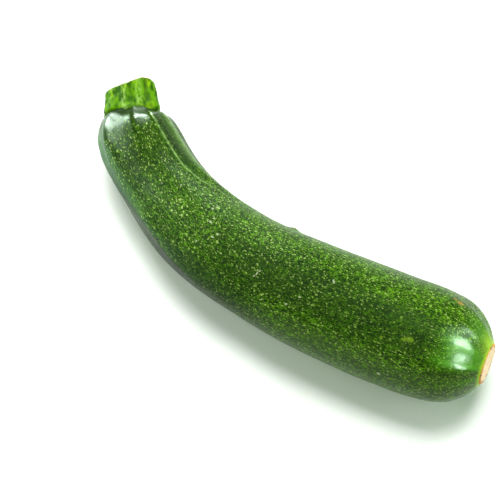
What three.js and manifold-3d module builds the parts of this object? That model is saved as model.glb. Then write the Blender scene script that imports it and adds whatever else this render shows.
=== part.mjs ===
// A courgette lying on its side: the fruit, and the cut stub of stem that grips its neck.
// Millimetres, +Z up. +X runs towards the blossom end, and the hollow of the bend faces +Y.
import * as THREE from "three";
import { mergeVertices } from "three/addons/utils/BufferGeometryUtils.js";
import Module from "manifold-3d";

const wasm = await Module();
wasm.setup();

// Driving dimensions.
const bodyRadius = 22.9;      // fullest girth, near the blossom end
const neckRadius = 17.6;      // between the ribs, just below the stem
const scarRadius = 8.6;       // dry plate where the flower dropped off
const scarDepth = 0.8;        // how far the plate lies inside its raised rim
const stemLength = 12.8;      // stub left above the fruit, on the stem's middle line
const stemFootRadius = 11.3;  // under the lobes that grip the fruit
const stemTopRadius = 10.6;
const footHeight = -2.2;      // where the stem's side starts, before its lobes reach lower
const footFlare = 1.2;        // extra radius at the foot
const rootDepth = 4.5;        // how deep the uncut stem starts inside the fruit
const stemLean = 2;           // degrees that the stem leans from the end of the middle line
const cutSlant = 11;          // degrees that the knife cut leans from square
const fitGap = 0.3;           // between the stem and the fruit
const restFlat = 0.45;        // how far the soft skin flattens where it lies on the table

// How finely the two solids are cut into facets.
const fruitSides = 60;
const bodyRings = 40;
const stemSides = 48;
const stemSteps = 10;

const { degToRad: toRadians, radToDeg: toDegrees, smoothstep: rise, lerp } = THREE.MathUtils;

// The middle line of the fruit, seen from above, with the height of the fruit's centre.
const middleLine = new THREE.CatmullRomCurve3([
  new THREE.Vector3(-80.1, 18.5, 17.6),
  new THREE.Vector3(-76.9, 15.2, 17.6),
  new THREE.Vector3(-71.5, 11.6, 17.7),
  new THREE.Vector3(-54.2, 3.5, 17.8),
  new THREE.Vector3(-29.0, -3.8, 18.9),
  new THREE.Vector3(-4.5, -5.3, 20.1),
  new THREE.Vector3(27.0, -1.8, 21.7),
  new THREE.Vector3(57.0, 4.2, 22.6),
  new THREE.Vector3(87.0, 11.6, 23.0),
  new THREE.Vector3(106.8, 16.8, 24.6),
], false, "centripetal");
middleLine.arcLengthDivisions = 800;
const fruitLength = middleLine.getLength();

// A frame at a distance along the fruit: its centre, the way on, the side that faces +Y, and up.
// Past either end the middle line runs straight on.
function frameAt(along) {
  const share = THREE.MathUtils.clamp(along / fruitLength, 0, 1);
  const onward = middleLine.getTangentAt(share);
  const centre = middleLine.getPointAt(share).addScaledVector(onward, along - share * fruitLength);
  const side = new THREE.Vector3(-onward.y, onward.x, 0).normalize();
  const up = new THREE.Vector3().crossVectors(onward, side);
  return { centre, onward, side, up };
}

// Ridges that run down from the stem. Turn is in degrees from the top towards +Y, height is a
// share of the radius, and width is in degrees.
const ribs = [
  { turn: 8, height: 0.028, width: 15 },
  { turn: 45, height: 0.052, width: 9 },
  { turn: 88, height: 0.05, width: 16 },
  { turn: 128, height: 0.04, width: 13 },
  { turn: 172, height: 0.035, width: 14 },
  { turn: 210, height: 0.028, width: 16 },
  { turn: 250, height: 0.04, width: 14 },
  { turn: 293, height: 0.046, width: 10 },
  { turn: 328, height: 0.02, width: 15 },
];

// The angle from one turn to another, in degrees, between -180 and 180.
function turnBetween(from, to) {
  return THREE.MathUtils.euclideanModulo(to - from + 180, 360) - 180;
}

// The ribs are strongest on the neck, wind slightly towards +Y, die out along the body and come
// back faintly where the skin draws in to the blossom scar.
function ribFactor(along, turn) {
  const wind = 38 * rise(along, 20, 85);
  const onNeck = rise(along, -1, 8) * (1 - 0.88 * rise(along, 28, 95));
  const atBlossom = 0.3 * rise(along, fruitLength - 28, fruitLength - 8);
  let swell = 0;
  for (const rib of ribs) {
    const offset = turnBetween(rib.turn + wind, turn) / rib.width;
    swell += rib.height * Math.exp(-offset * offset);
  }
  return 1 + swell * (onNeck + atBlossom) + 0.012 * (1 - onNeck);
}

// Half of the fruit's long section: radius against distance along the middle line.
function fruitProfile() {
  const underStem = [new THREE.Vector2(0, -1.6), new THREE.Vector2(5.5, -1.7)];
  const outline = new THREE.SplineCurve([
    new THREE.Vector2(9.6, -1.2),
    new THREE.Vector2(12.8, 1.4),
    new THREE.Vector2(15.4, 5.5),
    new THREE.Vector2(neckRadius - 0.5, 12),
    new THREE.Vector2(neckRadius, 20),
    new THREE.Vector2(neckRadius + 0.2, 36),
    new THREE.Vector2(18.7, 51),
    new THREE.Vector2(20.1, 71),
    new THREE.Vector2(20.8, 93),
    new THREE.Vector2(22.0, 113),
    new THREE.Vector2(22.6, 133),
    new THREE.Vector2(bodyRadius, 157),
    new THREE.Vector2(bodyRadius - 0.2, fruitLength - 25),
    new THREE.Vector2(21.2, fruitLength - 15),
    new THREE.Vector2(17.8, fruitLength - 8),
    new THREE.Vector2(13.2, fruitLength - 2.9),
    new THREE.Vector2(scarRadius + 0.9, fruitLength - 0.5),
  ]);
  const scarRim = [
    new THREE.Vector2(scarRadius, fruitLength),
    new THREE.Vector2(scarRadius - 0.7, fruitLength - 0.1),
    new THREE.Vector2(scarRadius - 1.2, fruitLength - scarDepth),
  ];
  const scarPlate = [
    new THREE.Vector2(scarRadius / 2, fruitLength - scarDepth + 0.2),
    new THREE.Vector2(0, fruitLength - scarDepth + 0.3),
  ];
  // Taken from the blossom end back, so that the turned skin faces outwards once it is bent.
  return [...underStem, ...outline.getSpacedPoints(bodyRings), ...scarRim, ...scarPlate].reverse();
}

// Moves each point of a shape turned about the Y axis onto a bent middle line. The turned shape's
// Y is the distance along, and reshape gives each point its final distance and radius.
function bendAlong(geometry, frameFor, reshape) {
  const place = geometry.attributes.position;
  const spot = new THREE.Vector3();
  for (let i = 0; i < place.count; i += 1) {
    spot.fromBufferAttribute(place, i);
    const turn = Math.atan2(spot.x, spot.z);
    const { along, radius } = reshape(spot.y, toDegrees(turn), Math.hypot(spot.x, spot.z));
    const { centre, side, up } = frameFor(along);
    spot.copy(centre);
    spot.addScaledVector(side, radius * Math.sin(turn));
    spot.addScaledVector(up, radius * Math.cos(turn));
    place.setXYZ(i, spot.x, spot.y, spot.z);
  }
}

// Welds a geometry's shared points and drops the triangles that shrink to nothing at the poles.
function weld(geometry) {
  geometry.deleteAttribute("normal");
  geometry.deleteAttribute("uv");
  const welded = mergeVertices(geometry, 1e-4);
  const corners = welded.index.array;
  const kept = [];
  for (let i = 0; i < corners.length; i += 3) {
    const [a, b, c] = corners.slice(i, i + 3);
    if (a !== b && b !== c && c !== a) kept.push(a, b, c);
  }
  welded.setIndex(kept);
  return welded;
}

function toSolid(geometry) {
  return new wasm.Manifold(new wasm.Mesh({
    numProp: 3,
    vertProperties: new Float32Array(geometry.attributes.position.array),
    triVerts: new Uint32Array(geometry.index.array),
  }));
}

function toGeometry(solid) {
  const mesh = solid.getMesh();
  const geometry = new THREE.BufferGeometry();
  geometry.setAttribute("position", new THREE.BufferAttribute(mesh.vertProperties, 3));
  geometry.setIndex(new THREE.BufferAttribute(mesh.triVerts, 1));
  return geometry;
}

// The fruit's skin, or the same skin grown outwards to leave room for a neighbour.
function fruitGeometry(growth) {
  const profile = fruitProfile();
  const geometry = new THREE.LatheGeometry(profile, fruitSides);
  bendAlong(geometry, frameAt, (along, turn, radius) => {
    const grown = radius > 0 ? radius * ribFactor(along, turn) + growth : 0;
    return { along: along < 1 ? along - growth : along, radius: grown };
  });
  return weld(geometry);
}

// Presses the underside flat where the skin carries the weight.
function flattenUnderside(geometry) {
  geometry.computeBoundingBox();
  const tableLevel = geometry.boundingBox.min.z + restFlat;
  const place = geometry.attributes.position;
  for (let i = 0; i < place.count; i += 1) {
    place.setZ(i, Math.max(place.getZ(i), tableLevel));
  }
  geometry.computeBoundingBox();
}

// The stem's lobes, in degrees from the top towards +Y. Each swells the foot and reaches down
// over the fruit's shoulder, and its ridge runs up to the cut.
const lobes = [
  { turn: 8, height: 0.05, reach: 0.5, width: 14 },
  { turn: 57, height: 0.13, reach: 3.0, width: 19 },
  { turn: 128, height: 0.12, reach: 2.6, width: 20 },
  { turn: 190, height: 0.11, reach: 2.8, width: 19 },
  { turn: 258, height: 0.12, reach: 2.6, width: 20 },
  { turn: 325, height: 0.13, reach: 2.9, width: 20 },
];

// The stem's middle line leaves the fruit's end and leans a little further into the bend.
function stemFrameAt(height) {
  const foot = frameAt(0);
  const outward = foot.onward.clone().negate().applyAxisAngle(foot.up, toRadians(-stemLean));
  const side = foot.side.clone().applyAxisAngle(foot.up, toRadians(-stemLean));
  return { centre: foot.centre.clone().addScaledVector(outward, height), side, up: foot.up };
}

// Half of the stem's long section: radius against height above the fruit. It starts inside the
// fruit, flares where it grips the shoulder, and ends in a slightly dished cut.
function stemProfile() {
  const root = [new THREE.Vector2(0, -rootDepth), new THREE.Vector2(stemFootRadius / 2, -rootDepth)];
  const side = [];
  for (let step = 0; step <= stemSteps; step += 1) {
    const share = step / stemSteps;
    const flare = footFlare * (1 - share) ** 3;
    const radius = lerp(stemFootRadius, stemTopRadius, rise(share, 0, 0.8)) + flare;
    side.push(new THREE.Vector2(radius, lerp(footHeight, stemLength, share)));
  }
  const cut = [
    new THREE.Vector2(stemTopRadius - 0.6, stemLength + 0.2),
    new THREE.Vector2(stemTopRadius / 2, stemLength - 0.3),
    new THREE.Vector2(0, stemLength - 0.5),
  ];
  return [...root, ...side, ...cut];
}

function stemGeometry() {
  const geometry = new THREE.LatheGeometry(stemProfile(), stemSides);
  bendAlong(geometry, stemFrameAt, (height, turn, radius) => {
    const share = THREE.MathUtils.clamp(height / stemLength, 0, 1);
    const outer = rise(radius, stemFootRadius / 2, stemFootRadius);
    let swell = 0;
    let reach = 0;
    for (const lobe of lobes) {
      const offset = turnBetween(lobe.turn, turn) / lobe.width;
      const bulge = outer * Math.exp(-offset * offset);
      swell += lobe.height * bulge * lerp(1, 0.45, share);
      reach += lobe.reach * bulge * (1 - rise(height, footHeight, footHeight + 6));
    }
    const slant = share * Math.tan(toRadians(cutSlant)) * radius * Math.sin(toRadians(turn));
    return { along: height - reach + slant, radius: radius * (1 + swell) };
  });
  return weld(geometry);
}

// The stem sits on the fruit's shoulder, so its foot is cut by the fruit grown by the gap.
function seatedStem() {
  const socket = toSolid(fruitGeometry(fitGap));
  return toGeometry(toSolid(stemGeometry()).subtract(socket));
}

const skin = new THREE.MeshStandardMaterial({ color: 0x2f5a1c, roughness: 0.35, metalness: 0 });
const stalk = new THREE.MeshStandardMaterial({ color: 0x6cab1e, roughness: 0.5, metalness: 0 });

const fruit = new THREE.Mesh(fruitGeometry(0), skin);
fruit.name = "fruit";
flattenUnderside(fruit.geometry);

const stem = new THREE.Mesh(seatedStem(), stalk);
stem.name = "stem";

// The origin is the middle of the courgette's box, on the table.
const courgette = new THREE.Group();
courgette.add(fruit, stem);
const box = new THREE.Box3().setFromObject(courgette);
courgette.position.set(-(box.min.x + box.max.x) / 2, -(box.min.y + box.max.y) / 2, -box.min.z);

export default courgette;
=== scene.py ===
import math

import bmesh
import bpy
import numpy as np
from mathutils import Matrix, Vector, noise
from mathutils.bvhtree import BVHTree


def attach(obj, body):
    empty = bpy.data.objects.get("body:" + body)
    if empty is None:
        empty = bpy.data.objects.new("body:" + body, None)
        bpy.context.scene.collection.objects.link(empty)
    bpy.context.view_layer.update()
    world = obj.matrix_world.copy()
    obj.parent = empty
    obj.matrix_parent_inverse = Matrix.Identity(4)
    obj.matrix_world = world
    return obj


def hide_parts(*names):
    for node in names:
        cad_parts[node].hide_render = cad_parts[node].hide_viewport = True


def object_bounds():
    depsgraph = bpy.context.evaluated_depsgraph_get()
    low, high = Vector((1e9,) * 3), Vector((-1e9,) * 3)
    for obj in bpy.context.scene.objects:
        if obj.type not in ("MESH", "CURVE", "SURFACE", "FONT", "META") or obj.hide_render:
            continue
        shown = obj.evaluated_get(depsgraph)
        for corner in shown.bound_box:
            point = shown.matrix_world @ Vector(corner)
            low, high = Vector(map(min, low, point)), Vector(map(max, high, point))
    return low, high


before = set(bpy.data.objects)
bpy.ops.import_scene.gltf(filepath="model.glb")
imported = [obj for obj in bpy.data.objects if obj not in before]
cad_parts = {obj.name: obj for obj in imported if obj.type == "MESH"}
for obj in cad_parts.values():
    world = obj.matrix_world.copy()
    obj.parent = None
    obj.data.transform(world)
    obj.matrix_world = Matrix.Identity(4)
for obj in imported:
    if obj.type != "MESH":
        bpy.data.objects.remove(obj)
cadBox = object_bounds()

mm = 0.001
scene = bpy.context.scene


def linkMesh(name, bm):
    mesh = bpy.data.meshes.new(name)
    bm.to_mesh(mesh)
    bm.free()
    mesh.shade_smooth()
    piece = bpy.data.objects.new(name, mesh)
    scene.collection.objects.link(piece)
    return piece


def smoothStep(value, low, high):
    share = np.clip((value - low) / (high - low), 0, 1)
    return share * share * (3 - 2 * share)


def unit(vectors):
    return vectors / np.linalg.norm(vectors, axis=-1, keepdims=True)


def between(points, cuts, wrapped=False):
    # more points between the rows of a grid, on Catmull-Rom curves through them
    count = len(points)
    spans = count if wrapped else count - 1
    first = np.arange(spans)

    def row(step):
        index = first + step
        return points[index % count] if wrapped else points[np.clip(index, 0, count - 1)]

    a, b, c, d = row(-1), row(0), row(1), row(2)
    shape = (1, cuts) + (1,) * (points.ndim - 1)
    t = (np.arange(cuts) / cuts).reshape(shape)
    a, b, c, d = a[:, None], b[:, None], c[:, None], d[:, None]
    bend, twist = 2 * a - 5 * b + 4 * c - d, 3 * b - a - 3 * c + d
    finer = 0.5 * (2 * b + (c - a) * t + bend * t ** 2 + twist * t ** 3)
    finer = finer.reshape((spans * cuts,) + points.shape[1:])
    return finer if wrapped else np.concatenate([finer, points[-1:]])


def ridge(value, centre, half):
    return np.exp(-((value - centre) / half) ** 2)


def fadeBetween(value, rise, full, drop, gone):
    # 0 up to rise, 1 from full to drop, and 0 again past gone
    return smoothStep(value, rise, full) * (1 - smoothStep(value, drop, gone))


weldDistance = 1e-7       # the doubled points at a skin's seam and poles


def wrapGrid(name, places, layers):
    # bends a flat grid round into a closed skin: the first and last rows are its poles
    rows, columns = places.shape[:2]
    bm = bmesh.new()
    bmesh.ops.create_grid(bm, x_segments=columns, y_segments=rows - 1, size=1)
    kept = {}
    for label, values in layers.items():
        kinds = bm.verts.layers.float_vector if values.ndim == 3 else bm.verts.layers.float
        kept[label] = (kinds.new(label), values.tolist())
    spots = places.tolist()
    for v in bm.verts:
        column = round((v.co.x + 1) / 2 * columns) % columns
        row = round((v.co.y + 1) / 2 * (rows - 1))
        v.co = spots[row][column]
        for layer, values in kept.values():
            v[layer] = values[row][column]
    bmesh.ops.remove_doubles(bm, verts=bm.verts, dist=weldDistance)
    bmesh.ops.recalc_face_normals(bm, faces=bm.faces)
    return linkMesh(name, bm)


def noiseOver(points, size, height):
    # slow unevenness: one number for each point, in metres
    flat = (points / size).reshape(-1, 3).tolist()
    values = [noise.noise(Vector(p)) for p in flat]
    return height * np.array(values).reshape(points.shape[:-1])


def facesOut(places):
    # the outward direction at each point of a wrapped grid
    ringward = np.roll(places, -1, axis=1) - np.roll(places, 1, axis=1)
    onward = np.gradient(places, axis=0)
    out = np.cross(ringward, onward)
    length = np.linalg.norm(out, axis=-1, keepdims=True)
    out = out / np.maximum(length, 1e-12)       # a pole's points have no direction
    middle = places.mean(axis=1, keepdims=True)
    inner = slice(20, -20)       # away from the poles
    if ((places - middle) * out)[inner].sum() < 0:
        out = -out
    return out


def treeOf(piece):
    bm = bmesh.new()
    bm.from_mesh(piece.data)
    tree = BVHTree.FromBMesh(bm)
    bm.free()
    return tree


class Shader:
    # one material's node tree, with short calls to add and join nodes

    def __init__(self, name):
        self.material = bpy.data.materials.new(name)
        self.material.use_nodes = True
        self.tree = self.material.node_tree
        self.surface = self.tree.nodes["Principled BSDF"]

    def node(self, kind, inputs=None, **settings):
        made = self.tree.nodes.new("ShaderNode" + kind)
        for key, value in settings.items():
            setattr(made, key, value)
        for key, value in (inputs or {}).items():
            self.feed(made.inputs[key], value)
        return made

    def feed(self, socket, value):
        if isinstance(value, bpy.types.NodeSocket):
            self.tree.links.new(value, socket)
        else:
            socket.default_value = value

    def maths(self, operation, first, second=0.0):
        return self.node("Math", {0: first, 1: second}, operation=operation).outputs[0]

    def add(self, first, second):
        return self.maths("ADD", first, second)

    def most(self, first, *others):
        for other in others:
            first = self.maths("MAXIMUM", first, other)
        return first

    def rest(self, share):
        # what a share leaves over
        return self.maths("SUBTRACT", 1.0, share)

    def times(self, first, *others):
        for other in others:
            first = self.maths("MULTIPLY", first, other)
        return first

    def ramp(self, value, low, high, least=0.0, most=1.0):
        made = self.node("MapRange", {"Value": value, "From Min": low, "From Max": high,
                                      "To Min": least, "To Max": most})
        made.interpolation_type = "SMOOTHSTEP"
        return made.outputs["Result"]

    def mix(self, share, under, over):
        made = self.node("Mix", data_type="RGBA")
        self.feed(made.inputs["Factor"], share)
        self.feed(made.inputs[6], under)
        self.feed(made.inputs[7], over)
        return made.outputs[2]

    def parts(self, vector):
        return self.node("SeparateXYZ", {0: vector}).outputs

    def stretched(self, vector, scale, shift=(0, 0, 0)):
        return self.node("Mapping", {"Vector": vector, "Scale": scale, "Location": shift}).outputs[0]

    def warped(self, vector, scale, amount):
        # pushes places about a little, so that marks come out uneven
        push = self.node("VectorMath", {0: self.noise(vector, scale, 2, 0.5, "Color"), 1: (0.5, 0.5, 0.5)},
                         operation="SUBTRACT").outputs[0]
        push = self.node("VectorMath", {0: push, "Scale": amount}, operation="SCALE").outputs[0]
        return self.node("VectorMath", {0: vector, 1: push}, operation="ADD").outputs[0]

    def attribute(self, name, output="Vector"):
        return self.node("Attribute", attribute_name=name).outputs[output]

    def noise(self, vector, scale, detail=2.0, rough=0.5, output="Fac"):
        made = self.node("TexNoise", {"Vector": vector, "Scale": scale, "Detail": detail,
                                      "Roughness": rough})
        return made.outputs[output]

    def dots(self, vector, scale, share, size):
        # round marks in some of the cells: share of the cells that hold one, size in parts of a cell
        cells = self.node("TexVoronoi", {"Vector": vector, "Scale": scale})
        chance, growth, _ = self.parts(cells.outputs["Color"])
        radius = self.ramp(growth, 0, 1, size * 0.55, size)
        edge = self.maths("DIVIDE", cells.outputs["Distance"], radius)
        mark = self.ramp(edge, 1.0, 0.45)
        held = self.maths("LESS_THAN", chance, share)
        return self.times(mark, held, self.ramp(growth, 0, 1, 0.5, 1.0))

    def winding(self, vector, scale, width):
        # thin curled lines, where a noise passes its middle
        field = self.noise(vector, scale, 1.0, 0.5)
        away = self.maths("ABSOLUTE", self.maths("SUBTRACT", field, 0.5))
        return self.ramp(away, width, width * 0.25)

    def set(self, **values):
        for key, value in values.items():
            self.feed(self.surface.inputs[key.replace("_", " ")], value)

    def bump(self, height, depth):
        made = self.node("Bump", {"Height": height, "Distance": depth, "Strength": 1.0})
        self.set(Normal=made.outputs[0])


# the camera looks down on the courgette from a little beyond its blossom end
cameraSetup = {
    "lens": 100,               # millimetres
    "sensor": 36,
    "distance": 0.579,
    "leanToBlossom": 16,       # degrees from straight down, towards +X
    "leanToOutside": 5,        # degrees from straight down, towards -Y
    "roll": 37,                # degrees that the picture is turned
    "aim": (-0.0068, -0.0053, -0.0011),   # from the middle of the courgette's box
    "sight": 20,
}


def addCamera(setup):
    low, high = cadBox
    aim = (Vector(low) + Vector(high)) / 2 + Vector(setup["aim"])
    outward = Vector((math.tan(math.radians(setup["leanToBlossom"])),
                      -math.tan(math.radians(setup["leanToOutside"])), 1)).normalized()
    roll = math.radians(setup["roll"])
    upward = Vector((-math.sin(roll), math.cos(roll), 0))
    upward = (upward - outward * upward.dot(outward)).normalized()
    sideways = upward.cross(outward)
    data = bpy.data.cameras.new("camera")
    data.lens = setup["lens"]
    data.sensor_width = setup["sensor"]
    data.clip_end = setup["sight"]
    camera = bpy.data.objects.new("camera", data)
    turn = Matrix((sideways, upward, outward)).transposed().to_4x4()
    camera.matrix_world = Matrix.Translation(aim + outward * setup["distance"]) @ turn
    scene.collection.objects.link(camera)
    scene.camera = camera
    return sideways, upward, outward


pictureRight, pictureUp, pictureOut = addCamera(cameraSetup)
print("camera ready")


# the fruit's skin: the solid's own rings, with finer rings and columns between them
# places along it are millimetres over the skin from the stem's pole, turns are degrees from the top
fruitShape = {
    "weld": 1e-6,
    "joinAngle": 3.1,            # radians: wide enough to make every pair of triangles one square
    "ringCuts": 8,
    "columnCuts": 4,
    "patternRadius": 22 * mm,    # the radius on which the speckles are laid out
    "lumps": ((24 * mm, 0.26 * mm), (9 * mm, 0.10 * mm), (3.6 * mm, 0.035 * mm)),
    # lengthwise lines: places and turns, height, half widths to the top's side and past it, fade
    "lines": {
        "crest": {"path": ((14, 40), (24, 40), (54, 41), (62, 46), (70, 54), (81, 61), (91, 69), (115, 80)),
                  "height": 0.32 * mm, "inner": 2.6, "outer": 3.0, "fade": (10, 20, 62, 96)},
        "shoulder": {"path": ((14, 64), (30, 64), (54, 66), (70, 77), (91, 90)),
                     "height": 0.90 * mm, "inner": 12.0, "outer": 7.0, "fade": (8, 18, 55, 88)},
        "trim": {"path": ((14, 82), (30, 82), (60, 84), (91, 100)),
                 "height": -0.30 * mm, "inner": 9.0, "outer": 30.0, "fade": (30, 50, 80, 110)},
        "outer": {"path": ((14, -34), (24, -42), (33, -49), (54, -47), (62, -48), (76, -58), (95, -64)),
                  "height": 0.80 * mm, "inner": 15.0, "outer": 9.0, "fade": (8, 20, 80, 115)},
        "rib": {"path": ((14, 13), (30, 9), (60, 14)),
                "height": 0.45 * mm, "inner": 7.0, "outer": 7.0, "fade": (4, 10, 24, 45)},
    },
    "footLift": {"along": 8, "width": 7, "turn": 8, "halfTurn": 62, "height": 0.8 * mm},
    "flutes": 13,                # shallow grooves running into the scar
    "fluteHeight": 0.10 * mm,
    "fluteWander": (14 * mm, 2.0),
    "fluteFade": (8, 14, 22, 45),      # from the scar
    "wart": (113.3, 84, 2.2, 1.7),   # place along, turn from the top, half length and half width
    "wartHeight": 0.9 * mm,
    "stemHold": (1, 6),          # nothing is raised at either pole
    "scarHold": (6, 11),
    # a pale line that runs into the scar, and a painted highlight on the upper side of the blossom end
    "stripe": {"turn": -22, "half": 5, "rise": (186, 202)},
    "glow": {"turn": 42, "half": 26, "fall": (10, 30)},
    # smooth skin beyond the crest and under the outer line, and a painted highlight line beyond the crest
    "beyond": {"edge": (-2, 5), "far": (118, 140), "fall": (48, 78), "strength": 0.82},
    "under": {"edge": (-3, 5), "far": (88, 115), "fade": (16, 26, 78, 108)},
    "highlightArc": {"past": 25, "half": 6, "fade": (14, 24, 52, 74)},
}


def skinGrid(bm):
    # sorts the solid's points into rings from the stem to the blossom
    poles = sorted(bm.verts, key=lambda v: len(v.link_edges))[-2:]
    start = min(poles, key=lambda v: v.co.x)
    ring = []
    edge = start.link_edges[0]
    face = edge.link_faces[0]
    for _ in start.link_edges:
        ring.append(edge.other_vert(start))
        edge = next(e for e in face.edges if start in e.verts and e is not edge)
        face = next(f for f in edge.link_faces if f is not face)
    seen = {start, *ring}
    rings = [ring]
    while True:
        following = [[e.other_vert(v) for e in v.link_edges if e.other_vert(v) not in seen] for v in ring]
        ring = [near[0] for near in following if near]
        if len(set(ring)) < 3:
            break
        rings.append(ring)
        seen.update(ring)
    return start, rings, max(poles, key=lambda v: v.co.x)


def readRings(spec):
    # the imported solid's points as rows and columns, from the top of each ring towards +Y, with both poles
    bm = bmesh.new()
    bm.from_mesh(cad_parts["fruit"].data)
    bmesh.ops.remove_doubles(bm, verts=bm.verts, dist=spec["weld"])
    tips = sorted(bm.verts, key=lambda v: len(v.link_edges))[-2:]
    body = [f for f in bm.faces if not any(t in f.verts for t in tips)]
    bmesh.ops.join_triangles(bm, faces=body, angle_face_threshold=spec["joinAngle"],
                             angle_shape_threshold=spec["joinAngle"])
    start, rings, end = skinGrid(bm)
    places = np.array([[v.co[:] for v in ring] for ring in rings])
    ends = np.array(start.co[:]), np.array(end.co[:])
    bm.free()
    count = places.shape[1]
    middle = len(places) // 2
    spoke = places[middle] - places[middle].mean(axis=0)
    turns = np.arctan2(spoke[:, 1], spoke[:, 2])
    first = np.abs(turns).argmin()
    order = 1 if turns[(first + count // 8) % count] > 0 else -1
    places = places[:, (first + order * np.arange(count)) % count]
    rows = [np.tile(ends[0], (1, count, 1)), places, np.tile(ends[1], (1, count, 1))]
    return np.concatenate(rows)


def lineTurn(along, line):
    return np.interp(along, *np.array(line["path"], float).T)


def pathShare(along, turn, line):
    # 1 on a lengthwise line and 0 away from it
    centre = lineTurn(along, line)
    away = (turn - centre + 180) % 360 - 180
    width = np.where(np.abs(turn) < np.abs(centre), line["inner"], line["outer"])
    return np.exp(-(away / width) ** 2) * fadeBetween(along, *line["fade"])


def spotShare(along, turn, place, at, length, width):
    # a soft oval on the skin, lengths in millimetres
    across = np.radians((turn - at + 180) % 360 - 180) * fruitShape["patternRadius"] / mm
    return ridge(along, place, length) * ridge(across, 0, width)


# marks on the skin: place along, turn from the top, half length and half width in millimetres
skinMarks = {
    "tan": ((193, 52, 1.6, 1.4), (190, 55, 0.8, 0.7)),
    "pale": ((180, -11, 1.9, 0.9), (177.5, -13, 1.0, 0.7), (169, -19, 0.9, 0.6)),
    "fleck": ((113.4, -15, 0.5, 0.6), (114.2, -11, 0.4, 1.0), (115, -7, 0.5, 0.6), (143.4, 16, 0.5, 0.6),
              (144, 14, 0.4, 0.6), (81, 26, 1.0, 0.6), (82, 31, 0.8, 0.6), (85, 11, 1.3, 0.6),
              (85, 17, 0.9, 0.6), (91, 4, 0.9, 0.7), (73, -5, 0.7, 0.5), (90, -2, 1.2, 0.5),
              (85, -17, 0.7, 0.6), (130, -26, 0.8, 0.6), (134, -13, 0.9, 0.5), (172, -59, 1.0, 0.9),
              (181, -77, 0.6, 0.9), (62, 20, 0.7, 0.6), (56, 2, 0.6, 0.5)),
}


def skinField(spec):
    # the skin's rows and columns of points, each point's place and turn, and each ring's radius
    places = between(readRings(spec), spec["ringCuts"])
    places = between(places.transpose(1, 0, 2), spec["columnCuts"], wrapped=True).transpose(1, 0, 2)
    rows, columns = places.shape[:2]
    steps = np.linalg.norm(np.diff(places, axis=0), axis=-1).mean(axis=1)
    skinRun = np.concatenate([[0], np.cumsum(steps)])
    along = np.tile(skinRun[:, None] / mm, (1, columns))
    turn = np.tile(np.degrees(np.arange(columns) * 2 * math.pi / columns), (rows, 1))
    turn = (turn + 180) % 360 - 180
    centres = places.mean(axis=1, keepdims=True)
    radius = np.linalg.norm(places - centres, axis=-1).mean(axis=1)
    return places, along, turn, radius


def raiseSkin(spec, places, along, turn):
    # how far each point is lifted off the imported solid, with the shares of the crest and the flutes
    fromEnd = along.max() - along
    raised = sum(noiseOver(places, size, height) for size, height in spec["lumps"])
    shares = {}
    for label, line in spec["lines"].items():
        shares[label] = pathShare(along, turn, line)
        raised = raised + shares[label] * line["height"]
    foot = spec["footLift"]
    lift = ridge(along, foot["along"], foot["width"])
    lift = lift * np.exp(-((turn - foot["turn"]) / foot["halfTurn"]) ** 4)
    raised = raised + lift * foot["height"]
    flute = np.cos(np.radians(turn) * spec["flutes"] + noiseOver(places, *spec["fluteWander"]))
    raised = raised + flute * spec["fluteHeight"] * fadeBetween(fromEnd, *spec["fluteFade"])
    raised = raised + spec["wartHeight"] * spotShare(along, turn, *spec["wart"])
    raised = raised * smoothStep(along, *spec["stemHold"]) * smoothStep(fromEnd, *spec["scarHold"])
    return raised, shares["crest"], flute


def neckSides(spec, along, turn):
    # the smooth skin on both sides of the neck, and the painted highlight line beyond its crest
    inner, outer, highlightArc = spec["beyond"], spec["under"], spec["highlightArc"]
    crestTurn = lineTurn(along, spec["lines"]["crest"])
    outerTurn = lineTurn(along, spec["lines"]["outer"])
    beyond = smoothStep(turn - crestTurn, *inner["edge"]) * (1 - smoothStep(turn, *inner["far"]))
    beyond = beyond * (1 - smoothStep(along, *inner["fall"]))
    under = smoothStep(outerTurn - turn, *outer["edge"]) * (1 - smoothStep(-turn, *outer["far"]))
    under = under * fadeBetween(along, *outer["fade"])
    highlightArcShare = ridge(turn, crestTurn + highlightArc["past"], highlightArc["half"]) * fadeBetween(along, *highlightArc["fade"])
    return np.maximum(beyond * inner["strength"], under), highlightArcShare


def buildFruit(spec, marks):
    places, along, turn, radius = skinField(spec)
    fromEnd = along.max() - along
    raised, crest, flute = raiseSkin(spec, places, along, turn)
    places = places + facesOut(places) * raised[..., None]
    places[..., 2] = np.maximum(places[..., 2], 0)      # nothing sinks into the floor
    wide = np.sqrt(radius * spec["patternRadius"])[:, None] / mm
    angle = np.radians(turn)
    blots = {label: sum(spotShare(along, turn, *spot) for spot in spots) for label, spots in marks.items()}
    stripe, glow = spec["stripe"], spec["glow"]
    stripeShare = ridge(turn, stripe["turn"], stripe["half"]) * smoothStep(along, *stripe["rise"])
    # painted highlight on the upper side of the blossom end
    glowHighlightShare = ridge(turn, glow["turn"], glow["half"]) * (1 - smoothStep(fromEnd, *glow["fall"]))
    smooth, highlightArc = neckSides(spec, along, turn)
    layers = {
        "straight": (along, wide * np.cos(angle), wide * np.sin(angle)),
        "marking": (blots["fleck"], blots["tan"], blots["pale"]),
        "ends": (along, fromEnd, flute),
        "lines": (crest, stripeShare, glowHighlightShare),
        "sides": (highlightArc, smooth, turn),
    }
    layers = {label: np.stack(parts, axis=-1) for label, parts in layers.items()}
    return wrapGrid("courgetteSkin", places, layers), places


fruit, fruitPlaces = buildFruit(fruitShape, skinMarks)
print("fruit skin", len(fruit.data.vertices), "points", len(fruit.data.polygons), "faces")


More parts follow.
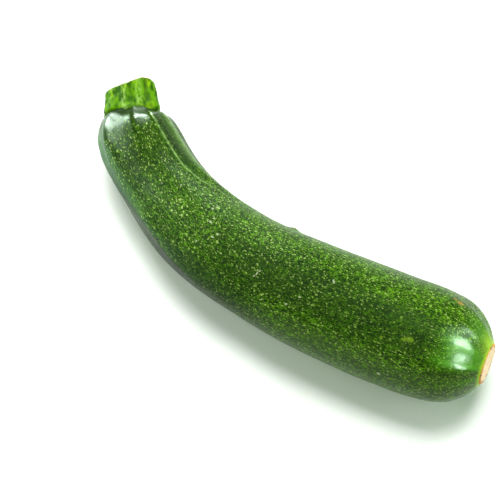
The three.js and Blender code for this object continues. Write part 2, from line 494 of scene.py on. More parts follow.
# the skin's colours, from its dark ground to its pale marks
skinFinish = {
    # dark ground, also the colour of the painted shade and the painted shadow
    "deep": (0.00529, 0.0196, 0.00114, 1),
    "leaf": (0.0121, 0.0378, 0.00151, 1),
    # lighter streaks, also the colour of the painted reflection beyond the crest
    "bandAndReflection": (0.034, 0.0991, 0.00283, 1),
    "vein": (0.100, 0.272, 0.005, 1),
    "speck": (0.40, 0.60, 0.13, 1),
    # painted reflection: the paler grey-green of the low side
    "lowSideReflection": (0.040, 0.074, 0.022, 1),
    "fleck": (0.60, 0.70, 0.40, 1),
    # the crest's light line, also the colour of the painted highlight line beyond it
    "crest": (0.208, 0.378, 0.0978, 1),
    # bright lines at the blossom end, also painted highlight and painted light round the end's highlight
    "blossomLineAndHighlight": (0.0708, 0.295, 0.00472, 1),
    # the collar round the scar, also the colour of the painted highlight beside it
    "collarAndHighlight": (0.3304, 0.5428, 0.0118, 1),
    "tan": (0.319, 0.212, 0.0319, 1),
    "pale": (0.138, 0.255, 0.0106, 1),
}


# scales are marks per millimetre, a stretch under 1 draws marks out along the fruit, reaches are
# millimetres from the stem or the scar, and turns are degrees from the top
skinPattern = {
    "neck": (80, 35),
    "tone": ((0.5, 1, 1), 0.07, (0.25, 0.75)),
    "streaks": ((0.10, 1, 1), 0.30, (0.48, 0.75)),
    "streakStrength": 0.40,
    # painted shade: a darker band down the top of the body, which also dims veins and specks
    "shade": {"turn": 4, "width": (12, 36, 0.6, 0.0), "fromStem": (70, 110), "fromScar": (22, 44)},
    # painted shadow: a dark patch on the low side under the bend, with fewer veins and specks
    "hollow": {"turn": (-20, -46), "rise": (55, 78), "fall": (128, 98), "strength": 0.85},
    # painted reflection: a paler, greyer low side towards the blossom end
    "lowSideReflection": {"turn": (-28, -50), "rise": (108, 142), "strength": 0.8},
    # painted reflection: lighter skin on the far side beyond the crest
    "farSideReflection": {"smooth": (0.2, 0.7), "turn": (46, 62), "strength": 0.4},
    "bareFoot": (14, 28),
    "bareSide": (0.3, 1, 1, 0.16),
    # stretch, shift, scale and width of the winding veins
    "veins": (((0.42, 1, 1), (0, 0, 0), 0.78, 0.040), ((0.45, 1, 1), (5, 1, 3), 1.10, 0.036)),
    "gapScale": 0.55,
    "gaps": (0.36, 0.60, 0.45, 1.0),
    "neckVeins": (0.95, 0.45),
    "hollowVeins": 0.7,
    # stretch, shift, scale, share of the cells that hold a speck, size in parts of a cell
    "specks": {
        "small": ((0.5, 1, 1), (0, 0, 0), 1.25, 0.95, 0.40),
        "middle": ((0.5, 1, 1), (3, 7, 1), 0.58, 0.34, 0.20),
        "large": ((0.7, 1, 1), (9, 2, 5), 0.30, 0.32, 0.15),
    },
    "speckWarp": (0.9, 1.3),
    "neckSpecks": (0.85, 0.72),
    "middleStrength": 0.62,
    "largeReach": (150, 70, 0.25, 1.0),
    "speckReach": (60, 120, 0.8, 1.0),
    "hollowSpecks": 0.6,
    "shadeSpecks": 0.7,
    "raggedScale": 1.1,
    "raggedEdge": (0.75, 1.2),
    "paleStrength": 0.6,
    "tanStrength": 0.65,
    "fleck": (0.35, 0.8),
    "fleckStrength": 0.5,
    "crest": (0.6, 1.0),
    "crestStrength": 0.7,
    # painted highlight: the line beyond the crest
    "highlightArcStrength": 0.6,
    # painted light: a bright patch round the blossom end's highlight
    "highlightHalo": {"turn": 8, "width": (30, 8), "reach": (36, 20), "strength": 0.6},
    "flutes": {"edge": (-0.5, 1.0), "reach": (28, 10), "strength": 0.30},
    "stripeStrength": 0.85,
    # painted highlight: the glow on the upper side of the blossom end
    "glowStrength": 0.55,
    # the collar round the scar, which also takes the painted highlight of the glow
    "collarAndHighlight": {"ragged": 2.0, "reach": (12.6, 10.6), "glow": (18, 10), "glowStrength": 0.9, "strength": 0.8},
}

# shine: roughness at the two ends and between them, and the grain of the surface
skinShine = {
    "specular": 0.06,
    "stemEnd": (24, 50, 0.21, 0.36),
    "scarEnd": (22, 45, 0.20, 0.36),
    "patchScale": 0.5,
    "patches": (0.3, 0.7, -0.04, 0.05),
    "grainScale": 1.6,
    "grain": 0.5,
    "speckHeight": 0.6,
    "neckGrain": (14, 40, 0.3, 1.0),
    "depth": 0.08 * mm,
}


def skinFields(paint):
    # what each point of the skin knows: its place, and its shares of the marks and lines
    on = {"straight": paint.attribute("straight")}
    groups = {
        "marking": ("fleck", "tan", "pale"),
        "lines": ("crest", "stripe", "glow"),
        "ends": ("fromStem", "fromScar", "flute"),
        "sides": ("highlightArc", "smooth", "turn"),
    }
    for name, labels in groups.items():
        on.update(zip(labels, paint.parts(paint.attribute(name))))
    return on


def skinZones(paint, on, lay):
    # the neck, a painted shade band along the top, a painted shadow under the bend, and skin that carries
    # specks
    shade, hollow = lay["shade"], lay["hollow"]
    on["neck"] = paint.ramp(on["fromStem"], *lay["neck"])
    on["clear"] = paint.times(paint.ramp(on["fromStem"], *lay["bareFoot"]),
                              paint.ramp(on["smooth"], *lay["bareSide"]))
    across = paint.maths("ABSOLUTE", paint.add(on["turn"], shade["turn"]))
    on["shade"] = paint.times(paint.ramp(across, *shade["width"]),
                              paint.ramp(on["fromStem"], *shade["fromStem"]),
                              paint.ramp(on["fromScar"], *shade["fromScar"]))
    # painted shadow under the bend
    on["hollow"] = paint.times(paint.ramp(on["fromStem"], *hollow["rise"]),
                               paint.ramp(on["fromStem"], *hollow["fall"]), hollow["strength"],
                               paint.ramp(on["turn"], *hollow["turn"]))
    on["broken"] = paint.ramp(paint.noise(on["straight"], lay["gapScale"]), *lay["gaps"])
    on["ragged"] = paint.noise(on["straight"], lay["raggedScale"])


def groundPaint(paint, on, spec, lay):
    # dark ground with lighter streaks, painted shade and painted shadow that darken it, and painted
    # reflections that lighten the low and far sides
    stretch, scale, edge = lay["tone"]
    tone = paint.noise(paint.stretched(on["straight"], stretch), scale, 3)
    colour = paint.mix(paint.ramp(tone, *edge), spec["deep"], spec["leaf"])
    stretch, scale, edge = lay["streaks"]
    streak = paint.noise(paint.stretched(on["straight"], stretch), scale, 3)
    streak = paint.times(paint.ramp(streak, *edge), lay["streakStrength"])
    colour = paint.mix(streak, colour, spec["bandAndReflection"])
    # painted shade down the top, then painted shadow under the bend
    colour = paint.mix(on["shade"], colour, spec["deep"])
    colour = paint.mix(on["hollow"], colour, spec["deep"])
    low, far = lay["lowSideReflection"], lay["farSideReflection"]
    # painted reflection on the low side and on the far side
    lowReflectionShare = paint.times(paint.ramp(on["turn"], *low["turn"]), paint.ramp(on["fromStem"], *low["rise"]))
    colour = paint.mix(paint.times(lowReflectionShare, low["strength"]), colour, spec["lowSideReflection"])
    farReflectionShare = paint.times(paint.ramp(on["smooth"], *far["smooth"]), paint.ramp(on["turn"], *far["turn"]))
    return paint.mix(paint.times(farReflectionShare, far["strength"]), colour, spec["bandAndReflection"])


def veinShare(paint, on, lay):
    # short winding veins, a little drawn out along the fruit and broken by gaps
    found = [paint.winding(paint.stretched(on["straight"], stretch, shift), scale, width)
             for stretch, shift, scale, width in lay["veins"]]
    # fewer veins under the painted shade and the painted shadow
    dim = paint.rest(paint.most(on["shade"], paint.times(on["hollow"], lay["hollowVeins"])))
    return paint.times(paint.most(*found), on["broken"], on["clear"], dim,
                       paint.ramp(on["neck"], 0, 1, *lay["neckVeins"]))


def speckShare(paint, on, lay):
    # specks in three sizes, fewer of them under the painted shade and the painted shadow
    uneven = paint.warped(on["straight"], *lay["speckWarp"])
    sizes = {label: paint.dots(paint.stretched(uneven, stretch, shift), scale, share, size)
             for label, (stretch, shift, scale, share, size) in lay["specks"].items()}
    small = paint.times(sizes["small"], paint.ramp(on["neck"], 0, 1, *lay["neckSpecks"]))
    middle = paint.times(sizes["middle"], lay["middleStrength"])
    large = paint.times(sizes["large"], paint.ramp(on["fromStem"], *lay["largeReach"]))
    dull = paint.most(paint.times(on["hollow"], lay["hollowSpecks"]),
                      paint.times(on["shade"], lay["shadeSpecks"]))
    return paint.times(paint.most(small, middle, large), on["clear"],
                       paint.ramp(on["fromScar"], *lay["speckReach"]), paint.rest(dull))


def markPaint(paint, on, colour, spec, lay):
    # scuffs and flecks, then the light line on the crest of the neck and the painted highlight line beyond
    # it
    for label in ("pale", "tan"):
        patch = paint.ramp(paint.add(on[label], on["ragged"]), *lay["raggedEdge"])
        colour = paint.mix(paint.times(patch, lay[label + "Strength"]), colour, spec[label])
    fleck = paint.times(paint.ramp(on["fleck"], *lay["fleck"]), lay["fleckStrength"])
    colour = paint.mix(fleck, colour, spec["fleck"])
    crest = paint.times(paint.ramp(on["crest"], *lay["crest"]), on["broken"], lay["crestStrength"])
    colour = paint.mix(crest, colour, spec["crest"])
    # painted highlight beyond the crest, in the crest's colour
    highlightArc = paint.times(on["highlightArc"], on["broken"], lay["highlightArcStrength"])
    return paint.mix(highlightArc, colour, spec["crest"])


def blossomPaint(paint, on, colour, spec, lay):
    # bright lines that run into the scar, painted highlight and a painted halo of light round the end's
    # highlight, and the collar round it
    highlightHalo, flutes, collarAndHighlight = lay["highlightHalo"], lay["flutes"], lay["collarAndHighlight"]
    # painted light: a bright patch round the end's highlight
    across = paint.maths("ABSOLUTE", paint.add(on["turn"], highlightHalo["turn"]))
    highlightHaloShare = paint.times(paint.ramp(across, *highlightHalo["width"]),
                             paint.ramp(on["fromScar"], *highlightHalo["reach"]), highlightHalo["strength"])
    fluteShare = paint.times(paint.ramp(on["flute"], *flutes["edge"]),
                             paint.ramp(on["fromScar"], *flutes["reach"]), flutes["strength"])
    bright = paint.most(fluteShare, paint.times(on["stripe"], lay["stripeStrength"]),
                        paint.times(on["glow"], lay["glowStrength"]), highlightHaloShare)
    colour = paint.mix(bright, colour, spec["blossomLineAndHighlight"])
    edge = paint.add(on["fromScar"], paint.times(on["ragged"], collarAndHighlight["ragged"]))
    # painted highlight on the upper side of the end, in the collar's colour
    glow = paint.times(on["glow"], paint.ramp(on["fromScar"], *collarAndHighlight["glow"]), collarAndHighlight["glowStrength"])
    ring = paint.most(paint.ramp(edge, *collarAndHighlight["reach"]), glow)
    return paint.mix(paint.times(ring, collarAndHighlight["strength"]), colour, spec["collarAndHighlight"])


def skinPaint(spec, lay, shine):
    paint = Shader("speckledSkin")
    on = skinFields(paint)
    skinZones(paint, on, lay)
    colour = groundPaint(paint, on, spec, lay)
    colour = paint.mix(veinShare(paint, on, lay), colour, spec["vein"])
    specks = speckShare(paint, on, lay)
    colour = paint.mix(specks, colour, spec["speck"])
    colour = markPaint(paint, on, colour, spec, lay)
    colour = blossomPaint(paint, on, colour, spec, lay)
    # shiny at both ends, a little duller between
    rough = paint.maths("MINIMUM", paint.ramp(on["fromStem"], *shine["stemEnd"]),
                        paint.ramp(on["fromScar"], *shine["scarEnd"]))
    patches = paint.noise(on["straight"], shine["patchScale"], 3)
    rough = paint.add(rough, paint.ramp(patches, *shine["patches"]))
    paint.set(Base_Color=colour, Roughness=rough, Specular_IOR_Level=shine["specular"])
    grain = paint.times(paint.noise(on["straight"], shine["grainScale"]), shine["grain"])
    height = paint.add(grain, paint.times(specks, shine["speckHeight"]))
    height = paint.times(height, paint.ramp(on["fromStem"], *shine["neckGrain"]))
    paint.bump(height, shine["depth"])
    return paint.material


fruit.data.materials.append(skinPaint(skinFinish, skinPattern, skinShine))
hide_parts("fruit")
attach(fruit, "root")
print("skin finished")


# the stem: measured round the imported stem's wall, with fibres, tucked lobes and a cut face
stemShape = {
    "columns": 192,
    "levels": 38,
    "capRings": 16,
    "sink": 1.3 * mm,
    "pinch": 0.06,               # closer rings at the foot and the rim
    "fibres": ((5.0, 0.10, 0.26 * mm), (13.0, 0.20, 0.12 * mm)),   # count, change along, height
    "knobs": ((2.4 * mm, 0.34 * mm), (1.1 * mm, 0.14 * mm)),
    "fibreRise": (-0.5 * mm, 2.0 * mm),
    # turns from the top, half widths in degrees, and depths or heights
    "grooves": ((13, 7.5, 0.50 * mm), (49, 6.5, 0.55 * mm), (102, 6, 0.6 * mm), (150, 7, 0.8 * mm),
                (-160, 6, 0.6 * mm), (-118, 7, 0.8 * mm), (-74, 5, 0.5 * mm)),
    "swells": ((-52, 24, 1.0 * mm), (78, 26, 1.2 * mm)),
    "swellRise": 3 * mm,
    # turns and half widths of the painted highlight streaks down the stem's ridges
    "streaks": ((-3, 7), (31, 9), (125, 6), (-178, 8), (-140, 6), (-95, 6)),
    "tuckRise": (-0.2 * mm, 1.5 * mm),
    "tucks": ((-35, 26, 1.2 * mm), (34, 10, 0.9 * mm), (64, 20, 1.0 * mm), (128, 26, 0.8 * mm),
              (-165, 30, 0.8 * mm), (-100, 30, 0.8 * mm)),
    "merge": ((8, 9, 1.4 * mm),),
    "mergeHeight": 1.2 * mm,
    "rimRound": 0.45 * mm,
    "rimHeight": 0.8 * mm,
    "rimPaint": (-1.0 * mm, -0.1 * mm),
    "rimLine": ((43, 26, 0.9 * mm), (88, 22, -2.0 * mm)),
    "rimInset": 0.4 * mm,        # the wall's radius is read no higher than this under the rim
    "faceRadius": 10 * mm,       # where the rim's line and the drop have their full height
    "frontDrop": 0.7 * mm,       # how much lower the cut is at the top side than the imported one
    "dish": 0.7 * mm,
    "faceLumps": ((3.0 * mm, 0.30 * mm), (1.1 * mm, 0.12 * mm)),
    "evenRings": 3,              # the lumps grow over this many rings in from the rim
    "fibreRing": (0.66, 0.07, 0.35 * mm),    # share of the face's radius, half width, height
    "bottom": 2 * mm,            # the inner pole, inside the fruit
    "unrolledRadius": 10,        # the radius on which the stem's paint is laid out, in millimetres
}

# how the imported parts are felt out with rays
stemProbe = {
    "heights": (-7, 18, 0.25),   # millimetres from the fruit's pole
    "reach": 40 * mm,
    "facing": 0.25,
    "above": 25 * mm,
    "depth": 60 * mm,
    "missed": -6 * mm,
    "cutFacing": 0.85,
    "insideRing": 60,            # the ring of skin that gives the stem's rough direction
    "overSkin": 0.4 * mm,
    "firstRim": 6 * mm,
    "underRim": 0.6 * mm,
}


def around(turn, places):
    # sum of soft ridges at given turns round the stem
    total = np.zeros(len(turn))
    for place in places:
        tall = place[2] if len(place) > 2 else 1.0
        total = total + tall * np.exp(-(((turn - place[0] + 180) % 360 - 180) / place[1]) ** 2)
    return total


def stemFrame():
    # origin, outward axis, top and +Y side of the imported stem, and its cut plane
    origin = fruitPlaces[0, 0]
    guess = unit(origin - fruitPlaces[stemProbe["insideRing"]].mean(axis=0))
    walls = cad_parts["stem"].data.polygons
    cut = [f for f in walls if np.dot(np.array(f.normal), guess) > stemProbe["cutFacing"]]
    areas = np.array([f.area for f in cut])[:, None]
    centre = (np.array([f.center[:] for f in cut]) * areas).sum(axis=0) / areas.sum()
    normal = unit((np.array([f.normal[:] for f in cut]) * areas).sum(axis=0))
    axis = unit(centre - origin)
    top = unit(np.array((0, 0, 1.0)) - axis * axis[2])
    side = np.cross(axis, top)
    return origin, axis, top, side, centre, normal


def castRadii(tree, origin, axis, spokes, heights):
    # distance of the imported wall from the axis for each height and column
    reach = stemProbe["reach"]
    found = np.zeros((len(heights), len(spokes)))
    for column, spoke in enumerate(spokes):
        last = 0
        for row in range(len(heights) - 1, -1, -1):
            start = origin + axis * heights[row] + spoke * reach
            hit = tree.ray_cast(Vector(start), Vector(-spoke), reach)
            if hit[0] is not None and np.dot(np.array(hit[1]), spoke) > stemProbe["facing"]:
                last = reach - hit[3]
            found[row, column] = last
    for wall in found.T:
        wall[wall == 0] = wall[wall > 0][-1]      # rows that met nothing keep the wall's last value
    return found


def skinHeights(tree, origin, axis, spokes, radii):
    # height of the fruit's skin under each column at that column's radius
    high, deep = stemProbe["above"], stemProbe["depth"]
    found = []
    for spoke, radius in zip(spokes, radii):
        hit = tree.ray_cast(Vector(origin + axis * high + spoke * radius), Vector(-axis), deep)
        found.append(high - hit[3] if hit[0] is not None else stemProbe["missed"])
    return np.array(found)


def stemEnds(tree, wallAt, cutHeight, origin, axis, spokes):
    # heights at which each column meets the fruit's skin and the cut face
    skin = np.zeros(len(spokes))
    for _ in range(4):
        skin = skinHeights(tree, origin, axis, spokes, wallAt(skin + stemProbe["overSkin"]))
    rim = cutHeight(wallAt(np.full(len(spokes), stemProbe["firstRim"])))
    for _ in range(3):
        rim = cutHeight(wallAt(rim - stemProbe["underRim"]))
    return skin, rim


def stemRadius(spec, spot, height, radius, turn, above, toRim):
    # one ring's radius with fibres, grooves, swells and the tucked foot, and how far its fibres stand out
    angle = np.radians(turn)
    fibre = -around(turn, spec["grooves"])
    for count, change, tall in spec["fibres"]:
        field = np.stack([np.cos(angle) * count, np.sin(angle) * count, height / mm * change], axis=-1)
        fibre = fibre + noiseOver(field, 1.0, tall)
    for size, tall in spec["knobs"]:
        fibre = fibre + noiseOver(spot, size, tall)
    fibre = fibre * smoothStep(above, *spec["fibreRise"])
    radius = radius + fibre + around(turn, spec["swells"]) * smoothStep(above, 0, spec["swellRise"])
    radius = radius - around(turn, spec["tucks"]) * (1 - smoothStep(above, *spec["tuckRise"]))
    radius = radius + around(turn, spec["merge"]) * np.exp(-np.maximum(above, 0) / spec["mergeHeight"])
    radius = radius - spec["rimRound"] * (1 - np.sqrt(np.clip(toRim / spec["rimHeight"], 0, 1)))
    return radius, fibre


def buildStem(spec):
    origin, axis, top, side, centre, normal = stemFrame()
    turn = np.arange(spec["columns"]) * 360 / spec["columns"]
    turn = (turn + 180) % 360 - 180
    angle = np.radians(turn)
    spokes = np.cos(angle)[:, None] * top + np.sin(angle)[:, None] * side
    heights = np.arange(*stemProbe["heights"]) * mm
    wall = castRadii(treeOf(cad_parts["stem"]), origin, axis, spokes, heights)
    rimLine = around(turn, spec["rimLine"])

    def wallAt(height):
        # the wall's radius at one height for each column
        place = np.clip((height - heights[0]) / (heights[1] - heights[0]), 0, len(heights) - 1.001)
        low = place.astype(int)
        share = place - low
        column = np.arange(len(spokes))
        return wall[low, column] * (1 - share) + wall[low + 1, column] * share

    def cutHeight(radius):
        # the cut face's height for each column at one radius
        level = ((centre - origin) @ normal - radius * (spokes @ normal)) / (axis @ normal)
        share = radius / spec["faceRadius"]
        return level + (rimLine * share - spec["frontDrop"] * np.cos(angle)) * share

    skin, rim = stemEnds(treeOf(fruit), wallAt, cutHeight, origin, axis, spokes)
    none = np.zeros(len(spokes))
    rows = [np.tile(origin - axis * spec["bottom"], (len(spokes), 1))]
    shares, cuts, fibres = [none], [none], [none]
    for level in np.linspace(0, 1, spec["levels"]):
        level = level - spec["pinch"] * math.sin(2 * math.pi * level)
        height = skin - spec["sink"] + (rim - skin + spec["sink"]) * level
        radius = wallAt(np.minimum(height, rim - spec["rimInset"]))
        above, toRim = height - skin, rim - height
        spot = spokes * radius[:, None] + axis * height[:, None]
        radius, fibre = stemRadius(spec, spot, height, radius, turn, above, toRim)
        rows.append(origin + axis * height[:, None] + spokes * radius[:, None])
        shares.append(np.clip(above / (rim - skin), 0, 1))
        cuts.append(smoothStep(-toRim, *spec["rimPaint"]))
        fibres.append(fibre / mm)
    place, half, tall = spec["fibreRing"]
    for ring in range(1, spec["capRings"] + 1):
        inward = 1 - ring / spec["capRings"]
        inner = radius * inward
        uneven = sum(noiseOver(spokes * inner[:, None], size, lump) for size, lump in spec["faceLumps"])
        uneven = (uneven + tall * ridge(inward, place, half)) * min(1, ring / spec["evenRings"])
        height = cutHeight(inner) - spec["dish"] * (1 - inward ** 3) + uneven
        if ring == spec["capRings"]:
            height = np.full(len(spokes), height.mean())
        rows.append(origin + axis * height[:, None] + spokes * inner[:, None])
        shares.append(np.ones(len(spokes)))
        cuts.append(np.full(len(spokes), 2 - inward))
        fibres.append(none)
    places = np.array(rows)
    local = places - origin
    unrolled = np.stack([np.cos(angle), np.sin(angle)], axis=-1) * spec["unrolledRadius"]
    upStem = (local @ axis)[..., None] / mm
    unrolled = np.concatenate([np.tile(unrolled, (len(rows), 1, 1)), upStem], axis=-1)
    return wrapGrid("cutStem", places, {
        "fibre": unrolled,
        "face": np.stack([local @ top, local @ side, local @ axis], axis=-1) / mm,
        "makeup": np.stack([np.array(shares), np.array(cuts), np.array(fibres)], axis=-1),
        # where the painted highlight streaks run round the stem
        "streak": np.tile(around(turn, spec["streaks"]), (len(rows), 1)),
    })


stem = buildStem(stemShape)
print("stem", len(stem.data.vertices), "points")

stemFinish = {
    "deep": (0.019, 0.080, 0.0005, 1),
    "bright": (0.095, 0.265, 0.001, 1),
    "yellow": (0.215, 0.405, 0.002, 1),
    # painted highlight on the stem's ridges
    "paintedHighlight": (0.245, 0.450, 0.065, 1),
    # painted shade in the grooves and round the foot
    "groove": (0.026, 0.085, 0.001, 1),
    "flesh": (0.2912, 0.3808, 0.0784, 1),
    "core": (0.4256, 0.4816, 0.1904, 1),
    "rim": (0.3136, 0.4256, 0.112, 1),
    "brown": (0.2016, 0.1232, 0.0224, 1),
}


# scales are marks per millimetre, and a stretch under 1 draws marks out along the stem
stemPattern = {
    "mottle": ((1, 1, 0.42), (0, 0, 0), 0.55, 4, 0.55),      # stretch, shift, scale, detail, roughness
    "patches": ((1, 1, 0.35), (4, 2, 0), 0.36, 3, 0.5),
    "gaps": ((1, 1, 0.5), (0, 0, 0), 0.7, 3, 0.5),
    "grain": ((1, 1, 0.35), (0, 0, 0), 1.3, 3, 0.5),
    "bright": (0.34, 0.60),
    "yellow": (0.48, 0.66),
    "yellowMottle": (0.38, 0.60),
    # painted highlight streaks
    "paintedHighlight": (0.25, 0.95),
    "paintedHighlightGaps": (0.34, 0.60),
    "paintedHighlightStrength": 0.75,
    # painted shade in the grooves and round the foot
    "groove": (-0.10, -0.60),
    "grooveShadeStrength": 0.75,
    "foot": (0.12, 0.0),
    "footShadeStrength": 0.7,
    "specks": 1.3,
    "browns": 0.28,
    "brownEdge": (0.46, 0.60),
    "coreEdge": (0.35, 0.65),
    "rimEdge": (0.2, 1.0),
    "fleshEdge": (1.02, 1.16),
    "rough": (0.3, 0.7, 0.42, 0.58),
    "specular": 0.01,
    "depth": 0.30 * mm,
}


def stemPaint(spec, lay):
    paint = Shader("stemFlesh")
    fibre, face = paint.attribute("fibre"), paint.attribute("face")
    share, cut, groove = paint.parts(paint.attribute("makeup"))
    streak = paint.attribute("streak", "Fac")
    fields = {}
    for label in ("mottle", "patches", "gaps", "grain"):
        stretch, shift, scale, detail, rough = lay[label]
        fields[label] = paint.noise(paint.stretched(fibre, stretch, shift), scale, detail, rough)
    colour = paint.mix(paint.ramp(fields["mottle"], *lay["bright"]), spec["deep"], spec["bright"])
    yellow = paint.times(paint.ramp(fields["patches"], *lay["yellow"]),
                         paint.ramp(fields["mottle"], *lay["yellowMottle"]))
    colour = paint.mix(yellow, colour, spec["yellow"])
    # painted highlight: pale bluish streaks down the ridges
    paintedHighlight = paint.times(paint.ramp(streak, *lay["paintedHighlight"]), paint.ramp(fields["gaps"], *lay["paintedHighlightGaps"]))
    colour = paint.mix(paint.times(paintedHighlight, lay["paintedHighlightStrength"]), colour, spec["paintedHighlight"])
    # painted shade in the grooves of the fibres
    grooveShade = paint.times(paint.ramp(groove, *lay["groove"]), lay["grooveShadeStrength"])
    colour = paint.mix(grooveShade, colour, spec["groove"])
    # painted shade round the foot, where the stem meets the fruit
    foot = paint.times(paint.ramp(share, *lay["foot"]), lay["footShadeStrength"])
    colour = paint.mix(foot, colour, spec["groove"])
    # the cut: a dry rim round pale flesh
    speck = paint.noise(face, lay["specks"], 3)
    browned = paint.ramp(paint.noise(face, lay["browns"]), *lay["brownEdge"])
    rim = paint.mix(browned, spec["rim"], spec["brown"])
    flesh = paint.mix(paint.ramp(speck, *lay["coreEdge"]), spec["flesh"], spec["core"])
    colour = paint.mix(paint.ramp(cut, *lay["rimEdge"]), colour, rim)
    colour = paint.mix(paint.ramp(cut, *lay["fleshEdge"]), colour, flesh)
    paint.set(Base_Color=colour, Roughness=paint.ramp(speck, *lay["rough"]))
    paint.set(Specular_IOR_Level=lay["specular"])
    paint.bump(paint.add(fields["grain"], paint.times(speck, 0.5)), lay["depth"])
    return paint.material


stem.data.materials.append(stemPaint(stemFinish, stemPattern))
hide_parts("stem")
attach(stem, "root")
print("stem finished")


# the corky scar where the blossom sat
scarShape = {
    "columns": 144,
    "radius": 8.5 * mm,
    "thickness": 1.5 * mm,
    "proud": 0.35 * mm,
    "endRings": 40,              # the rings of skin that hold the blossom end's highest point
    "insideRing": 60,
    "faceRings": 18,
    "ragged": 0.60 * mm,
    "raggedSteps": ((3, 1.0), (9, 0.7)),       # how often the edge wanders, and its share of the height
    # rings from the hidden back round the edge: share of the radius, share of the thickness below the face
    "backRings": (0, 0.5, 0.94),
    "edgeRings": ((0.985, 0.75), (1.0, 0.5), (1.005, 0.28), (0.995, 0.1), (0.97, 0.0)),
    "edgeLift": 0.10 * mm,
    "faceSpan": 0.95,
    "faceLift": 0.26 * mm,
    "faceLumps": ((2.6 * mm, 1.0), (0.9 * mm, 0.45)),
    "dish": 0.35 * mm,
}


def buildScar(spec):
    last = fruitPlaces[-spec["endRings"]:]
    origin = fruitPlaces[-1, 0]
    inner = fruitPlaces[-spec["insideRing"]].mean(axis=0)
    axis = unit(origin - inner)
    top = unit(np.array((0, 0, 1.0)) - axis * axis[2])
    side = np.cross(axis, top)
    reachOut = ((last - origin) @ axis).max()
    angle = np.arange(spec["columns"]) * 2 * math.pi / spec["columns"]
    spokes = np.cos(angle)[:, None] * top + np.sin(angle)[:, None] * side
    edge = spec["radius"]
    for step, share in spec["raggedSteps"]:
        edge = edge + noiseOver(spokes * step, 1.0, spec["ragged"] * share)
    topHeight = reachOut + spec["proud"]
    rows, spread = [], []

    def addRing(share, height, lift=0.0):
        field = spokes * (edge * share)[:, None]
        uneven = sum(noiseOver(field, size, lift * part) for size, part in spec["faceLumps"])
        spot = height + uneven if share > 0 else np.full(len(spokes), height)
        rows.append(origin + axis * spot[:, None] + field)
        spread.append(np.full(len(spokes), share))

    for share in spec["backRings"]:
        addRing(share, topHeight - spec["thickness"])
    for share, drop in spec["edgeRings"]:
        addRing(share, topHeight - spec["thickness"] * drop, spec["edgeLift"])
    for ring in range(1, spec["faceRings"] + 1):
        share = spec["faceSpan"] * (1 - ring / spec["faceRings"])
        addRing(share, topHeight - spec["dish"] * (1 - share ** 2), spec["faceLift"])
    places = np.array(rows)
    local = places - origin
    face = np.stack([local @ top, local @ side, local @ axis], axis=-1) / mm
    return wrapGrid("blossomScar", places, {"face": face, "spread": np.array(spread)})


scar = buildScar(scarShape)

scarFinish = {
    "cork": (0.80, 0.57, 0.33, 1),
    "pith": (0.84, 0.69, 0.46, 1),
    "rim": (0.60, 0.29, 0.045, 1),
    "dark": (0.10, 0.040, 0.012, 1),
}


scarPattern = {
    "mottle": (0.7, 4, 0.6),       # scale, detail, roughness
    "ragged": (0.9, 3, 0.5),
    "bits": (0.55, 3, 0.65),
    "grain": (2.4, 3, 0.5),
    "pith": (0.35, 0.65),
    "raggedStrength": 0.30,
    "rim": (0.99, 1.12),
    "burntBits": (0.50, 0.60),
    "burntSpread": (0.80, 0.96),
    "rough": (0.3, 0.7, 0.62, 0.85),
    "specular": 0.04,
    "depth": 0.22 * mm,
}


def scarPaint(spec, lay):
    paint = Shader("corkyScar")
    face = paint.attribute("face")
    spread = paint.attribute("spread", "Fac")
    fields = {label: paint.noise(face, *lay[label]) for label in ("mottle", "ragged", "bits", "grain")}
    colour = paint.mix(paint.ramp(fields["mottle"], *lay["pith"]), spec["cork"], spec["pith"])
    ragged = paint.add(spread, paint.times(fields["ragged"], lay["raggedStrength"]))
    colour = paint.mix(paint.ramp(ragged, *lay["rim"]), colour, spec["rim"])
    burnt = paint.times(paint.ramp(fields["bits"], *lay["burntBits"]),
                        paint.ramp(spread, *lay["burntSpread"]))
    colour = paint.mix(burnt, colour, spec["dark"])
    paint.set(Base_Color=colour, Roughness=paint.ramp(fields["mottle"], *lay["rough"]))
    paint.set(Specular_IOR_Level=lay["specular"])
    paint.bump(paint.add(fields["grain"], fields["mottle"]), lay["depth"])
    return paint.material


scar.data.materials.append(scarPaint(scarFinish, scarPattern))
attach(scar, "root")
print("scar finished")


floorSetup = {
    "halfSize": 2.5,
    "colour": (0.92, 0.93, 0.92, 1),
    "glow": (0.50, 1.0, 0.36, 1),      # a trace of green that keeps the shadow from going grey
    "glowStrength": 0.07,
    "roughness": 0.9,
    "specular": 0.2,
}


def addFloor(spec):
    bm = bmesh.new()
    bmesh.ops.create_grid(bm, x_segments=2, y_segments=2, size=spec["halfSize"])
    floor = linkMesh("floor", bm)
    paint = Shader("paleFloor")
    paint.set(Base_Color=spec["colour"], Roughness=spec["roughness"], Specular_IOR_Level=spec["specular"])
    paint.set(Emission_Color=spec["glow"], Emission_Strength=spec["glowStrength"])
    floor.data.materials.append(paint.material)


addFloor(floorSetup)


def addSoftbox(name, direction, distance, size, power):
    data = bpy.data.lights.new(name, "AREA")
    data.shape = "RECTANGLE"
    data.size, data.size_y = size
    data.energy = power
    lamp = bpy.data.objects.new(name, data)
    direction = direction.normalized()
    lamp.location = direction * distance
    lamp.rotation_euler = direction.to_track_quat("Z", "Y").to_euler()
    scene.collection.objects.link(lamp)
    return lamp


# lights that give no highlights: direction in the camera's own axes, distance, size, power
lamps = {
    "key": ((-0.03, 0.64, 0.77), 2.2, (1.2, 0.9), 72),
    "fill": ((-0.80, 0.25, 0.50), 1.3, (0.8, 0.8), 4.5),
    "sideFill": ((0.95, 0.10, 0.28), 0.9, (0.4, 0.4), 1.7),
}

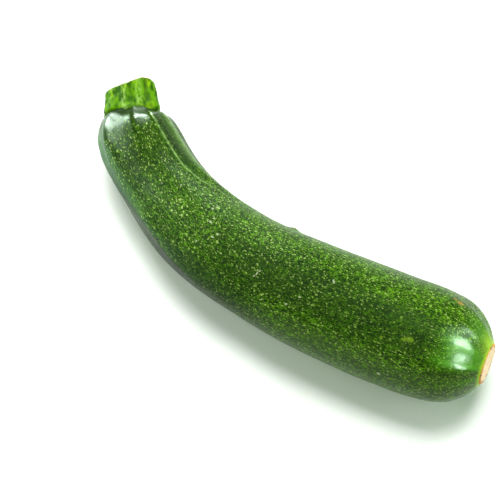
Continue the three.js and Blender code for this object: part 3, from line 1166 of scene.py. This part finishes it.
# pale panes that show only as highlights: the spot they face, direction, distance, size, brightness
panes = {
    "leftPane": ((-0.087, 0.005, 0.031), (-0.79, 0.60, -0.02), 0.20, (0.060, 0.13), 125),
    "lowPane": ((-0.087, 0.005, 0.031), (-0.87, 0.34, 0.33), 0.20, (0.07, 0.11), 28),
    "middlePane": ((-0.087, 0.005, 0.031), (-0.61, 0.79, -0.05), 0.20, (0.024, 0.13), 120),
    "neckPane": ((-0.0775, 0.015, 0.032), (0.20, 0.97, -0.16), 0.10, (0.005, 0.08), 560),
    "sideCard": ((-0.060, -0.012, 0.031), (-0.985, -0.17, -0.03), 0.35, (0.20, 0.12), 16),
    "endPane": ((0.0885, 0.011, 0.042), (0.71, 0.20, 0.67), 0.50, (0.19, 0.28), 180),
    "endGlow": ((0.0885, 0.011, 0.042), (0.66, 0.10, 0.75), 0.50, (0.42, 0.40), 26),
    "endStrip": ((0.093, 0.004, 0.041), (0.62, -0.42, 0.66), 0.50, (0.035, 0.18), 680),
}
paneColours = {"sideCard": (0.58, 1.0, 0.64)}
paneColour = (0.80, 1.0, 0.87)

# a card that lies on the floor and shows along the low side of the skin
floorCard = {
    "size": (0.185, 0.26),
    "place": (-0.175, -0.100, 0.001),
    "turn": 37,                  # degrees
    "power": 0.9,
    "colour": (0.50, 1.0, 0.54),
}


def fromPicture(direction):
    right, up, out = direction
    return pictureRight * right + pictureUp * up + pictureOut * out


def addLights():
    for name, (direction, distance, size, power) in lamps.items():
        lamp = addSoftbox(name, fromPicture(direction), distance, size, power)
        lamp.visible_glossy = False
    shown = []
    for name, (spot, direction, distance, size, brightness) in panes.items():
        power = brightness * math.pi * size[0] * size[1]
        pane = addSoftbox(name, fromPicture(direction), distance, size, power)
        pane.location += Vector(spot)
        pane.data.color = paneColours.get(name, paneColour)
        shown.append(pane)
    card = addSoftbox("floorCard", Vector((0, 0, -1)), 1.0, floorCard["size"], floorCard["power"])
    card.data.color = floorCard["colour"]
    card.location = floorCard["place"]
    card.rotation_euler.z = math.radians(floorCard["turn"])
    for pane in shown + [card]:
        pane.visible_diffuse = False
        pane.visible_camera = False


addLights()
print("lights ready")

# colour and strength of the air: as light on the courgette, and as the camera sees it past the floor
studioAir = {
    "light": ((0.90, 1.0, 0.88, 1), 0.20),
    "seen": ((0.93, 0.95, 0.93, 1), 1.0),
}


def addWorld(spec):
    world = bpy.data.worlds.new("studio")
    world.use_nodes = True
    nodes, links = world.node_tree.nodes, world.node_tree.links
    either = nodes.new("ShaderNodeMixShader")
    path = nodes.new("ShaderNodeLightPath")
    links.new(path.outputs["Is Camera Ray"], either.inputs[0])
    for slot, label in enumerate(("light", "seen"), start=1):
        colour, strength = spec[label]
        background = nodes.new("ShaderNodeBackground")
        background.inputs["Color"].default_value = colour
        background.inputs["Strength"].default_value = strength
        links.new(background.outputs[0], either.inputs[slot])
    links.new(either.outputs[0], nodes["World Output"].inputs["Surface"])
    scene.world = world


addWorld(studioAir)
scene.view_settings.view_transform = "Standard"
